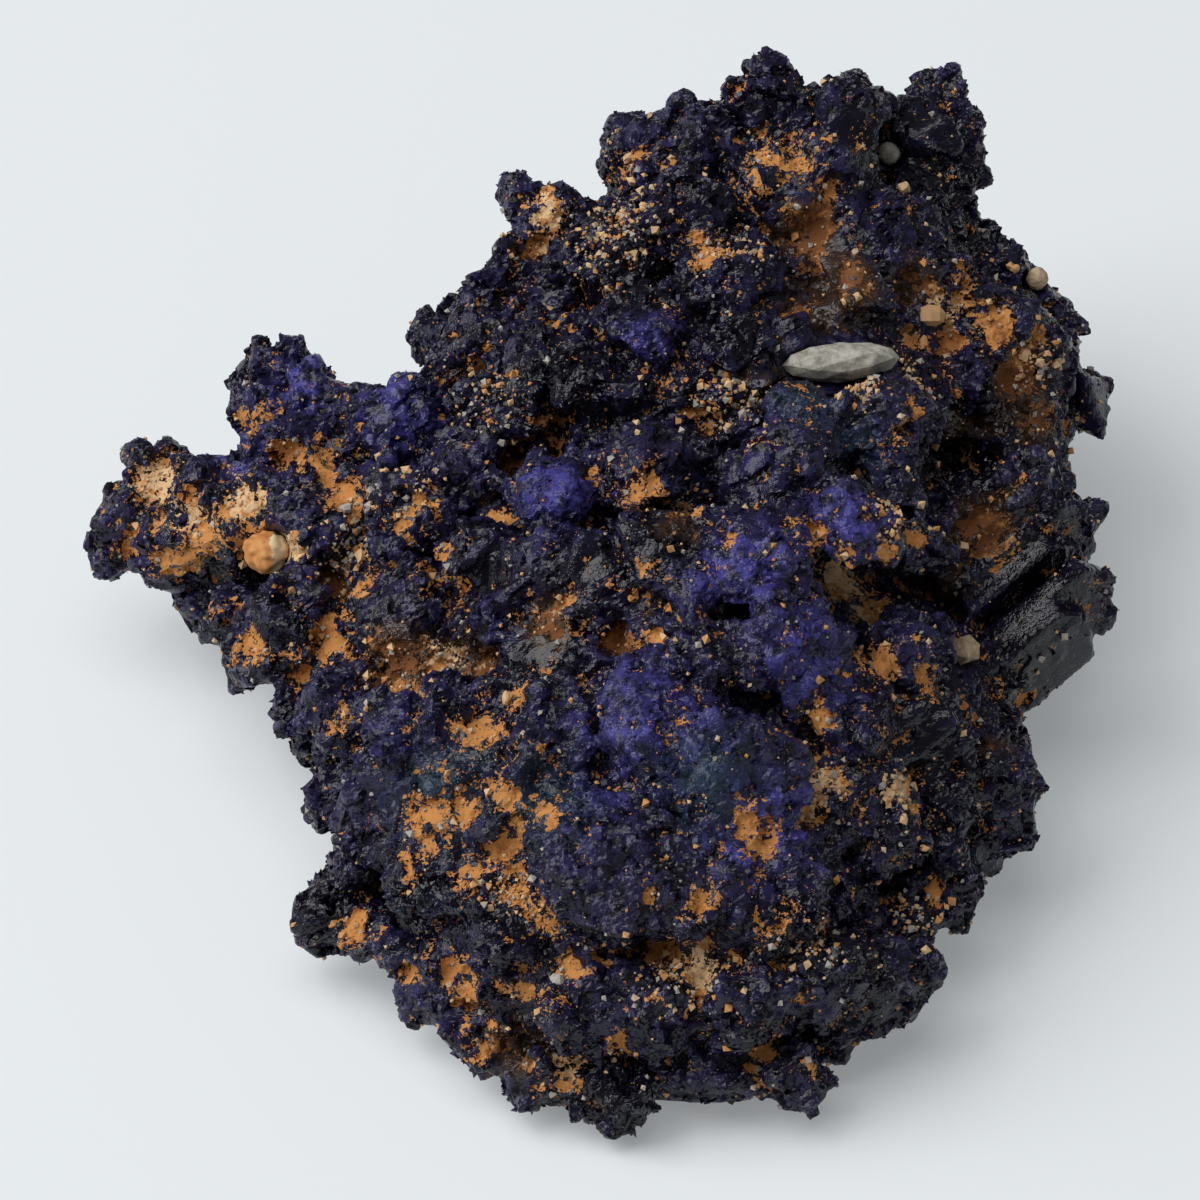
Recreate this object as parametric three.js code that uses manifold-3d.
// Azurite specimen: a hand-sized lump of intergrown azurite crystals on iron-stained clay, with five small
// stones lodged in its hollows. Millimetres, +Z up. It rests on the flat break of its underside, and the
// origin is on that plane, below the middle of the lump.
import * as THREE from "three";
import { mergeVertices } from "three/addons/utils/BufferGeometryUtils.js";
import Module from "manifold-3d";

const wasm = await Module();
wasm.setup();

// Driving dimensions
const SIGHT_TILT = 42; // degrees above the table of the line of sight that the places are given along
const SIGHT_DISTANCE = 650; // from the eye to the aim point
const AIM_HEIGHT = 18; // height of the aim point above the table
const AIM_BACK = -2; // where the aim point lies along Y
const STONE_GAP = 0.3; // clearance between a lodged stone and its pocket
const SMALL_LUMP = 3.3; // radius below which a lump is a single eight-faced crystal
const CRYSTAL_SEED = 28;

// Lumps of the visible side, region by region. A place is [across, up, height, radius]: across and up are
// measured square to the line of sight through the aim point, and height is that of the centre above the table.
// Flat is a lump's thickness as a share of its radius, and blades is the share of the lumps that a plate
// stands out of.
const LUMPS = [
  {
    region: "crown rim",
    flat: 0.95,
    blades: 0.5,
    places: [
      [21.6, 31.2, 26, 2.8], [19.8, 30.4, 27, 3], [16.4, 30.4, 28.5, 3.6], [11, 31, 29, 3.9],
      [7, 29.2, 28, 3.8], [3.2, 28.2, 26.5, 3.5], [1.8, 28.6, 25.5, 2.2], [-2.9, 24.6, 24.5, 3.1],
      [-5.2, 19.9, 22.5, 3.2], [-7.6, 16.2, 20.5, 3.2], [22.9, 28.2, 24.5, 2.9], [22.1, 25.4, 23.5, 2.8],
      [-11, 12, 18.5, 2.6],
    ],
  },
  {
    region: "crown",
    flat: 0.62,
    blades: 0,
    places: [
      [12, 26.4, 28, 4.6], [5, 24.4, 27, 4.6], [15.6, 27.6, 28.5, 3.8], [0, 21.5, 25, 4],
      [3, 17.6, 26, 3.8], [8, 20.6, 27, 4], [16.6, 20.6, 27, 3], [-3.6, 16, 24, 4],
      [8.6, 16.4, 26.4, 3], [-0.4, 14, 25, 3.4], [-6.6, 12.4, 22.4, 3.4], [20.4, 24.4, 26, 3],
    ],
  },
  {
    region: "shoulder",
    flat: 0.85,
    blades: 0,
    places: [
      [26, 21.2, 20, 2.7], [28.6, 18.4, 17, 2.9], [27, 16.8, 18.5, 4], [30.8, 12.9, 13, 2.8],
      [29.6, 15.8, 16, 2.4], [24, 18, 20.5, 3.6], [27.2, 12.4, 15.5, 3.4], [22, 20.6, 23, 2.8],
      [29, 10.9, 13, 2.5], [23.4, 13.6, 18.5, 3.4],
    ],
  },
  {
    region: "terrace",
    flat: 0.6,
    blades: 0,
    places: [
      [-12, 5, 18.5, 3.6], [-8.4, 8, 21, 3], [-8, 3.4, 20.6, 3.2], [-3, 2.4, 22.4, 3.4],
      [1, 1.4, 23.4, 3], [5, 2.6, 24.4, 4], [9.4, 3, 25, 4.2], [-3, 7, 23.8, 3.4],
      [2.6, 8.4, 25, 3.6], [11.6, 8, 26, 3.8], [16.6, 5, 25, 3.8], [19, 7.4, 23.4, 2.8],
      [-13, -1, 16.8, 3.4], [-6.6, -1, 19, 2.6], [13.4, 11.4, 26.6, 3.4], [18, 11.8, 25.4, 3.4],
      [20.2, 3.4, 21.4, 3.2], [-15.4, 7, 17, 3],
    ],
  },
  {
    region: "plateau",
    flat: 0.42,
    blades: 0,
    places: [
      [-11, -11, 16, 4.8], [-14, -14, 12.6, 3.6], [-10, -16.6, 13.2, 4.2], [-4, -8, 19, 4.6],
      [0, -16.6, 17, 5], [4, -7.6, 21.4, 5], [9, -12, 19, 5], [13, -3, 22.4, 4.6],
      [16, -7, 18.4, 4.2], [6, -18, 16, 4.4], [11, -19.6, 14, 4], [17, -13, 14.2, 4.4],
      [-6, -20, 13, 3.6], [8, -3.6, 22.6, 3.8], [-4, -13, 17.4, 4],
    ],
  },
  {
    region: "right lobe",
    flat: 0.9,
    blades: 0,
    places: [
      [25.9, -12.2, 8.5, 3.3], [24.2, -9.4, 9.5, 3.2], [22, -13, 10.5, 3.2], [20.4, -8, 14, 3.8],
      [22.7, -18.6, 6.5, 2.9], [20, -20.6, 6, 2.6], [17.4, -24.4, 6.5, 3.6], [18.8, -25.6, 5, 2.6],
      [15.4, -27, 5, 2.9], [20, -3.4, 18, 3.4],
    ],
  },
  {
    region: "front",
    flat: 0.9,
    blades: 0,
    places: [
      [12.8, -30.8, 3.5, 2.4], [11.4, -29.4, 4, 2.8], [8, -30.4, 3.5, 2.7], [5, -29.4, 4, 2.9],
      [1.8, -32.4, 3, 2.3], [-1, -31.6, 3, 2.5], [-4.1, -31.2, 3, 2.7], [-7.4, -28.6, 4, 2.8],
      [-6, -25.2, 7, 3.2], [-1, -26, 8.5, 3.6], [4, -26, 8.5, 3.4], [9, -26, 8.5, 3.6],
      [14, -24, 9, 3.8], [-10.4, -23.4, 6.5, 2.8],
    ],
  },
  {
    region: "left rim",
    flat: 0.9,
    blades: 0,
    places: [
      [-17.1, -20.5, 5, 2.7], [-15, -21.2, 6, 2.3], [-15.8, -17, 7.5, 2.2], [-17.5, -12.9, 8, 2.7],
      [-13, -22.4, 6, 2.1], [-19.2, -6.8, 9, 2.4], [-22.6, -4, 9, 2.2], [-23.6, -1, 9.5, 2.6],
      [-16.6, -7, 12, 3.4], [-20, -1.4, 12.5, 3.6],
    ],
  },
  {
    region: "left arm",
    flat: 0.85,
    blades: 0,
    places: [
      [-31.6, 2.9, 8.5, 1.8], [-30.3, 5.8, 11, 2.9], [-28, 2.6, 10, 2.6], [-28.8, 7.5, 12, 2.5],
      [-26.2, 7.7, 13, 2.7], [-26, 4, 12, 3.2], [-22.8, 5, 13.5, 3.6], [-18.6, 4.4, 15.5, 3.8],
    ],
  },
  {
    region: "left peak",
    flat: 0.95,
    blades: 1,
    places: [
      [-20, 14, 16, 2.7], [-22, 13.3, 15, 2.1], [-21, 11, 15.5, 3], [-17.4, 11.9, 16.5, 2.6],
      [-13.4, 10.8, 18, 2.7], [-15.2, 11.3, 17, 2.3], [-18.4, 8.8, 16, 3.2],
    ],
  },
];

// Hollows of the visible side, in the same terms, with half sizes across, up and out.
const HOLLOWS = [
  { place: [15, 15.8, 27.5], size: [4.8, 2.2, 3] }, // where the pale chip is lodged
  { place: [18.4, 28.8, 28.5], size: [1.2, 4.4, 3.4] }, // the cleft in the crown
  { place: [-9.8, -3.8, 18.4], size: [5.2, 1.5, 3.6] }, // the clay cave under the terrace
  { place: [-3.6, -3.6, 21.6], size: [2.6, 1.3, 3.4] }, // the step above the plateau
  { place: [1.6, -2.6, 22], size: [2, 1.4, 3] }, // the end of that step
  { place: [-17.5, 0.6, 14.4], size: [1.5, 2.2, 2.4] }, // the clay pit by the arm
  { place: [-1.4, 19, 25], size: [1.9, 1.9, 2.8] }, // the pale-walled hole in the crown
  { place: [6, 11.6, 25], size: [3, 1.4, 3] }, // the valley behind the ridge
  { place: [23.4, 9, 17.6], size: [3.2, 1.6, 4] }, // the dark gap below the shoulder
  { place: [22.4, -1, 12.4], size: [1.4, 1.5, 2.4] }, // beside the bladed book
  { place: [17, -16.6, 13], size: [1.8, 1.5, 3] }, // the gap above the lower right lumps
  { place: [19.8, 20, 25.4], size: [1.2, 2.6, 2.4] }, // the slope behind the pale chip
  { place: [2.6, -23, 12], size: [3, 1.2, 2.6] }, // the dark ledge below the plateau
];

// The heart of the lump, as overlapping ellipsoids: [x, y, z] of the centre and the three half sizes.
const HEART = [
  { centre: [3, -4, 7], half: [20, 27, 16] },
  { centre: [9, 17, 11], half: [16, 18, 17] },
  { centre: [16.5, 27, 11], half: [12, 13, 18.5] },
  { centre: [0, 24, 12], half: [10, 9, 14] },
  { centre: [1, 26.5, 17], half: [7, 7, 9] },
  { centre: [-18, 14.5, 9], half: [13, 6.5, 6.5] },
  { centre: [-9, 11, 9], half: [9, 9, 11] },
  { centre: [-11, 3, 7], half: [10, 12, 10] },
  { centre: [20, 16, 8], half: [12, 13, 12] },
  { centre: [19, -4, 6], half: [9, 13, 9] },
  { centre: [-7, -11, 4], half: [9, 11, 9] },
  { centre: [4, -22, 4], half: [13, 9, 9] },
];

// The bladed book on the right: plates stacked along a slanting normal, given as [across, up, out].
const BOOK = {
  normal: [0.5, -0.62, 0.6],
  along: [0.77, 0.64, 0],
  plates: [
    { place: [24.4, 4.4, 16], length: 11, width: 7, thickness: 1.3 },
    { place: [26, 3.4, 15], length: 12, width: 7.4, thickness: 1.3 },
    { place: [27.4, 2.2, 13.8], length: 12, width: 6.8, thickness: 1.2 },
    { place: [27.4, 0.2, 12.6], length: 9.8, width: 6.4, thickness: 1.2 },
    { place: [28.9, -1.8, 11.4], length: 11, width: 7, thickness: 1.5 },
    { place: [27.8, -4.2, 10.2], length: 10, width: 6.4, thickness: 1.4 },
  ],
};

// The stones lodged in the hollows, in the same terms as the hollows. Turn is in degrees about the line of
// sight, and detail is how finely the stone is rounded.
const STONES = [
  {
    name: "pale_chip",
    place: [15.6, 15.4, 25.4],
    size: [3.9, 1.3, 1.9],
    turn: 4,
    detail: 1,
    colour: 0x8a867a,
  },
  {
    name: "cream_nodule",
    place: [-21.5, 3.2, 14.7],
    size: [1.5, 1.4, 1.4],
    turn: 0,
    detail: 1,
    colour: 0xc48f58,
  },
  {
    name: "tan_grain",
    place: [28.2, 20.7, 20.4],
    size: [0.8, 0.8, 0.8],
    turn: 0,
    detail: 0,
    colour: 0xb49270,
  },
  {
    name: "buff_chip",
    place: [23.6, -3.2, 13.8],
    size: [1.2, 1, 0.9],
    turn: 20,
    detail: 0,
    colour: 0xa08a70,
  },
  {
    name: "grey_pebble",
    place: [18.6, 28.8, 27],
    size: [0.9, 0.8, 0.9],
    turn: -20,
    detail: 0,
    colour: 0x77766f,
  },
];

// Rows of lumps round the side that faces away: heights, mean radii and compass spans in degrees.
const BACK_ROWS = [
  { height: 4, radius: 3.2, from: 8, to: 172, count: 11 },
  { height: 10, radius: 3.8, from: 14, to: 150, count: 9 },
  { height: 16, radius: 3.6, from: 24, to: 140, count: 8 },
  { height: 21, radius: 3.2, from: 44, to: 128, count: 6 },
];

// Sight lines

const tilt = THREE.MathUtils.degToRad(SIGHT_TILT);
const aim = new THREE.Vector3(0, AIM_BACK, AIM_HEIGHT);
const ACROSS = new THREE.Vector3(1, 0, 0);
const UP = new THREE.Vector3(0, Math.sin(tilt), Math.cos(tilt));
const OUT = new THREE.Vector3(0, -Math.cos(tilt), Math.sin(tilt));
const eye = aim.clone().addScaledVector(OUT, SIGHT_DISTANCE);

// The direction that a mix of across, up and out gives.
function sightVector([across, up, out]) {
  return new THREE.Vector3().addScaledVector(ACROSS, across).addScaledVector(UP, up).addScaledVector(OUT, out);
}

// The point on a line of sight that lies at a height above the table.
function placeOf([across, up, height]) {
  const ray = aim.clone().add(sightVector([across, up, 0])).sub(eye);
  return eye.clone().addScaledVector(ray, (height - eye.z) / ray.z);
}

// Solids

// Numbers from 0 to 1 that are the same on every run.
function dice(seed) {
  let state = seed >>> 0;
  return () => {
    state = (state + 0x6d2b79f5) >>> 0;
    let t = Math.imul(state ^ (state >>> 15), 1 | state);
    t = (t + Math.imul(t ^ (t >>> 7), 61 | t)) ^ t;
    return ((t ^ (t >>> 14)) >>> 0) / 4294967296;
  };
}

// Each lump throws its own dice, so that one can change and the others stay as they are.
let roll = dice(CRYSTAL_SEED);
const between = (low, high) => low + (high - low) * roll();

function shared(geometry) {
  const bare = geometry.clone();
  for (const name of Object.keys(bare.attributes)) if (name !== "position") bare.deleteAttribute(name);
  return mergeVertices(bare, 1e-4);
}

function solidOf(geometry) {
  const mesh = shared(geometry);
  return new wasm.Manifold(
    new wasm.Mesh({
      numProp: 3,
      vertProperties: new Float32Array(mesh.attributes.position.array),
      triVerts: new Uint32Array(mesh.index.array),
    }),
  );
}

function geometryOf(solid) {
  const mesh = solid.getMesh();
  const geometry = new THREE.BufferGeometry();
  geometry.setAttribute("position", new THREE.BufferAttribute(mesh.vertProperties, 3));
  geometry.setIndex(new THREE.BufferAttribute(mesh.triVerts, 1));
  geometry.computeVertexNormals();
  return geometry;
}

// The way out of the lump at a place on its surface.
function outward(place) {
  return new THREE.Vector3(place.x * 0.55, place.y * 0.5, place.z - 2).normalize();
}

// A direction leaning away from another by up to a share of its length.
function leaning(direction, share) {
  const lean = new THREE.Vector3(between(-share, share), between(-share, share), between(-share, share));
  return lean.add(direction).normalize();
}

// A closed shape round the origin, with each corner pushed in or out.
function uneven(geometry, least, most) {
  const mesh = shared(geometry);
  const position = mesh.attributes.position;
  for (let i = 0; i < position.count; i += 1) {
    const reach = between(least, most);
    position.setXYZ(i, position.getX(i) * reach, position.getY(i) * reach, position.getZ(i) * reach);
  }
  return mesh;
}

// A flattened, uneven lump: twenty flat faces, or eight where it is small.
function lump(place, radius, flat) {
  const small = radius < SMALL_LUMP;
  const round = small ? new THREE.OctahedronGeometry(1.16) : new THREE.IcosahedronGeometry(1.04);
  const geometry = uneven(round, 0.86, 1.16);
  const z = leaning(outward(place), 0.4);
  const x = leaning(ACROSS, 2).cross(z).normalize();
  const basis = new THREE.Matrix4().makeBasis(x, z.clone().cross(x), z);
  const stretch = between(1, 1.16);
  const half = [radius * stretch, (radius * 1.04) / stretch, radius * flat];
  basis.multiply(new THREE.Matrix4().makeScale(...half)).setPosition(place);
  return solidOf(geometry.applyMatrix4(basis));
}

// A plate that stands out of a lump on edge.
function standingPlate(place, radius, flat) {
  const out = outward(place);
  const normal = leaning(ACROSS, 2).cross(out);
  const along = leaning(out, 0.8);
  const centre = place.clone().addScaledVector(out, radius * flat * between(0.2, 0.4));
  return plate(centre, along, normal, radius * between(1.5, 1.9), radius * between(1.1, 1.6), radius * 0.32);
}

// An ellipsoid with its faces left flat and its corners pushed in and out by up to a share of its size.
function ellipsoid(centre, basis, half, detail, share) {
  const geometry = uneven(new THREE.IcosahedronGeometry(1, detail), 1 - share, 1 + share);
  const matrix = basis.clone().multiply(new THREE.Matrix4().makeScale(...half)).setPosition(centre);
  return solidOf(geometry.applyMatrix4(matrix));
}

// A tabular crystal: a six-sided plate, with its length along one direction and its flat faces across another.
function plate(centre, along, normal, length, width, thickness) {
  const outline = new THREE.Shape();
  const corner = 0.62; // share of the half width at which an end is cut back
  const point = 0.74; // share of the half length where the cut begins
  outline.moveTo(-length / 2, (-width / 2) * corner);
  outline.lineTo((-length / 2) * point, -width / 2);
  outline.lineTo((length / 2) * point, -width / 2);
  outline.lineTo(length / 2, (width / 2) * corner * 0.4);
  outline.lineTo((length / 2) * point, width / 2);
  outline.lineTo((-length / 2) * point, width / 2);
  outline.closePath();
  const geometry = new THREE.ExtrudeGeometry(outline, { depth: thickness, bevelEnabled: false });
  geometry.translate(0, 0, -thickness / 2);
  const z = normal.clone().normalize();
  const x = along.clone().addScaledVector(z, -along.dot(z)).normalize();
  const y = z.clone().cross(x);
  return solidOf(geometry.applyMatrix4(new THREE.Matrix4().makeBasis(x, y, z).setPosition(centre)));
}

const sightBasis = new THREE.Matrix4().makeBasis(ACROSS, UP, OUT);

// The azurite mass

function heart() {
  const upright = new THREE.Matrix4();
  roll = dice(CRYSTAL_SEED);
  return HEART.map(({ centre, half }) => ellipsoid(new THREE.Vector3(...centre), upright, half, 1, 0.07));
}

function visibleLumps() {
  const solids = [];
  for (const { flat, blades, places } of LUMPS) {
    for (const [across, up, height, radius] of places) {
      const place = placeOf([across, up, height]);
      roll = dice(CRYSTAL_SEED + Math.round(across * 100) * 31 + Math.round(up * 100));
      solids.push(lump(place, radius, flat));
      if (roll() < blades) solids.push(standingPlate(place, radius, flat));
    }
  }
  return solids;
}

function book() {
  const normal = sightVector(BOOK.normal);
  const along = sightVector(BOOK.along);
  return BOOK.plates.map(({ place, length, width, thickness }) =>
    plate(placeOf(place), along, normal, length, width, thickness),
  );
}

// How far from a point, along a direction, the heart's skin lies.
function skinDistance(from, direction) {
  let farthest = 0;
  for (const { centre, half } of HEART) {
    const scale = new THREE.Vector3(...half);
    const start = from.clone().sub(new THREE.Vector3(...centre)).divide(scale);
    const step = direction.clone().divide(scale);
    const a = step.dot(step);
    const b = start.dot(step);
    const c = start.dot(start) - 1;
    const inside = b * b - a * c;
    if (inside > 0) farthest = Math.max(farthest, (-b + Math.sqrt(inside)) / a);
  }
  return farthest;
}

// The lumps of the hidden side sit on the skin of the heart.
function backLumps() {
  const solids = [];
  roll = dice(CRYSTAL_SEED);
  for (const { height, radius, from, to, count } of BACK_ROWS) {
    for (let i = 0; i < count; i += 1) {
      const angle = THREE.MathUtils.degToRad(from + ((to - from) * (i + between(-0.2, 0.2))) / (count - 1));
      const direction = new THREE.Vector3(Math.cos(angle), Math.sin(angle), 0);
      const middle = new THREE.Vector3(4, 8, height + between(-1.5, 1.5));
      const size = radius * between(0.8, 1.15);
      const place = middle.clone().addScaledVector(direction, skinDistance(middle, direction) - size * 0.5);
      solids.push(lump(place, size, 0.85));
    }
  }
  return solids;
}

const join = (solids) => solids.reduce((whole, next) => whole.add(next));

// A lodged stone, grown by a margin to make its pocket.
function stone({ place, size, turn, detail }, margin) {
  const spin = new THREE.Matrix4().makeRotationZ(THREE.MathUtils.degToRad(turn));
  const half = size.map((value) => value + margin);
  roll = dice(size[0] * 1000);
  return ellipsoid(placeOf(place), sightBasis.clone().multiply(spin), half, detail, 0.06);
}

function azuriteMass() {
  let mass = join([...heart(), ...visibleLumps(), ...backLumps(), ...book()]);
  for (const { place, size } of HOLLOWS) {
    const detail = size[0] < 2 ? 0 : 1;
    mass = mass.subtract(ellipsoid(placeOf(place), sightBasis, size, detail, 0.1));
  }
  for (const lodged of STONES) mass = mass.subtract(stone(lodged, STONE_GAP));
  const REACH = 200;
  const aboveTable = new THREE.BoxGeometry(REACH, REACH, REACH).translate(0, 0, REACH / 2);
  return mass.intersect(solidOf(aboveTable));
}

// Assembly

const placed = new THREE.Group();

function addPiece(name, solid, colour, roughness) {
  const material = new THREE.MeshStandardMaterial({ color: colour, roughness, metalness: 0 });
  const mesh = new THREE.Mesh(geometryOf(solid), material);
  mesh.name = name;
  placed.add(mesh);
}

addPiece("azurite_mass", azuriteMass(), 0x1b1f45, 0.45);
for (const lodged of STONES) addPiece(lodged.name, stone(lodged, 0), lodged.colour, 0.8);

// The origin comes below the middle of the whole.
const middle = new THREE.Box3().setFromObject(placed).getCenter(new THREE.Vector3());
placed.position.set(-middle.x, -middle.y, 0);

const specimen = new THREE.Group();
specimen.add(placed);

export default specimen;
